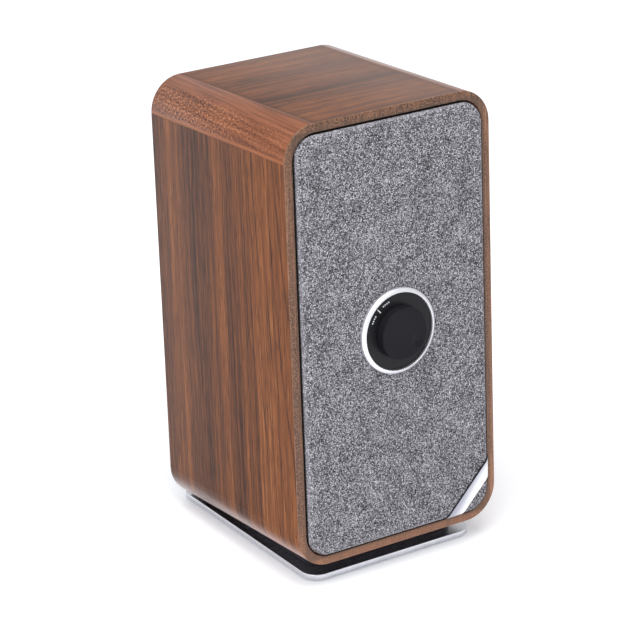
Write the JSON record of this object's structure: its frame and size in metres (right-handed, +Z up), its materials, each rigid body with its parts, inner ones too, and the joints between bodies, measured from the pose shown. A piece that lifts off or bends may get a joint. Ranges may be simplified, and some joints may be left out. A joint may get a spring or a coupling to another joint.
{
  "type": "tabletop radio",
  "caption": "Upright walnut-cased powered speaker with a grey cloth grille, a central rotary control and a leaning stand.",
  "frame": {"origin": "centre of the stand's underside, on the table", "axes": "+Z up; -Y towards the listener, out of the front; +X to the listener's right as the front is faced"},
  "size_m": [0.165, 0.1887, 0.3254],
  "materials": {
    "walnut_panel": "satin lacquered walnut veneer",
    "walnut_post": "satin lacquered solid walnut",
    "fibreboard": "bare fibreboard",
    "black_board": "matt black painted board",
    "grille_cloth": "woven grey melange cloth",
    "black_plastic": "matt black",
    "dial_black": "satin black",
    "bright_aluminium": "satin turned",
    "plate_aluminium": "polished",
    "trim_aluminium": "brushed",
    "steel": "zinc plated",
    "black_steel": "black",
    "basket_metal": "black powder coat",
    "ferrite": "sintered",
    "copper_coil": "enamelled copper",
    "cone_paper": "pressed pulp",
    "spider_cloth": "doped cotton",
    "rubber": "matt",
    "foam": "open-cell foam",
    "circuit_board": "green solder mask",
    "components": "moulded",
    "sink_aluminium": "extruded",
    "insert_brass": "turned",
    "wire_sleeve": "extruded insulation"
  },
  "bodies": {
    "root": {"cabinet_left_panel": "walnut_panel", "cabinet_right_panel": "walnut_panel", "cabinet_top_panel": "walnut_panel", "cabinet_bottom_panel": "walnut_panel", "corner_posts": "walnut_post", "front_veneer_frame": "walnut_panel", "front_baffle": "fibreboard", "grille_frame": "black_board", "grille_cloth": "grille_cloth", "grille_pegs": "black_plastic", "grille_cups": "rubber", "corner_trim_strip": "trim_aluminium", "dial_housing": "black_plastic", "baffle_screws": "black_steel", "dial_ring": "bright_aluminium", "dial_fascia": "dial_black", "encoder_body": "steel", "press_spring": "steel", "control_board": "circuit_board", "wiring_loom": "wire_sleeve", "driver_gaskets": "rubber", "acoustic_foam": "foam", "rear_panel": "black_board", "rear_panel_screws": "black_steel", "reflex_port": "black_plastic", "connector_plate": "black_plastic", "connector_plate_screws": "black_steel", "power_inlet": "components", "aux_jack": "components", "service_socket": "steel", "pairing_switch": "components", "amplifier_board": "circuit_board", "board_standoffs": "insert_brass", "board_screws": "steel", "board_components": "components", "heat_sink": "sink_aluminium", "base_plate": "plate_aluminium", "base_screws": "steel", "base_pad": "rubber", "stand_wedge": "black_plastic", "stand_bolts": "steel", "stand_inserts": "insert_brass", "upper_driver_basket": "basket_metal", "upper_driver_magnet": "ferrite", "upper_driver_spider": "spider_cloth", "upper_driver_surround": "rubber", "lower_driver_basket": "basket_metal", "lower_driver_magnet": "ferrite", "lower_driver_spider": "spider_cloth", "lower_driver_surround": "rubber"},
    "rotor": {"encoder_rotor": "black_plastic"},
    "knob": {"volume_knob": "dial_black", "encoder_shaft": "steel"},
    "upper_cone": {"upper_driver_cone": "cone_paper", "upper_driver_dust_cap": "cone_paper", "upper_driver_voice_coil": "copper_coil"},
    "lower_cone": {"lower_driver_cone": "cone_paper", "lower_driver_dust_cap": "cone_paper", "lower_driver_voice_coil": "copper_coil"},
    "button": {"pairing_button": "black_plastic"}
  },
  "joints": [
    {"name": "knob_turn", "type": "hinge", "parent": "root", "child": "rotor", "pos_m": [0, -0.08969, 0.17219], "axis": [0, -0.998, 0.0628], "continuous": true},
    {"name": "knob_press", "type": "slide", "parent": "rotor", "child": "knob", "axis": [0, 0.998, -0.0628], "range_m": [0, 0.0008], "stiffness_N_per_m": 1500, "springref_m": -0.001, "deforming": ["press_spring"]},
    {"name": "upper_cone_travel", "type": "slide", "parent": "root", "child": "upper_cone", "axis": [0, -0.998, 0.0628], "range_m": [-0.0025, 0.0025], "stiffness_N_per_m": 1200, "deforming": ["upper_driver_surround", "upper_driver_spider"]},
    {"name": "lower_cone_travel", "type": "slide", "parent": "root", "child": "lower_cone", "axis": [0, -0.998, 0.0628], "range_m": [-0.0025, 0.0025], "stiffness_N_per_m": 1200, "deforming": ["lower_driver_surround", "lower_driver_spider"]},
    {"name": "pairing_button_press", "type": "slide", "parent": "root", "child": "button", "axis": [0, -0.998, 0.0628], "range_m": [0, 0.0006], "stiffness_N_per_m": 900, "springref_m": -0.0006}
  ]
}
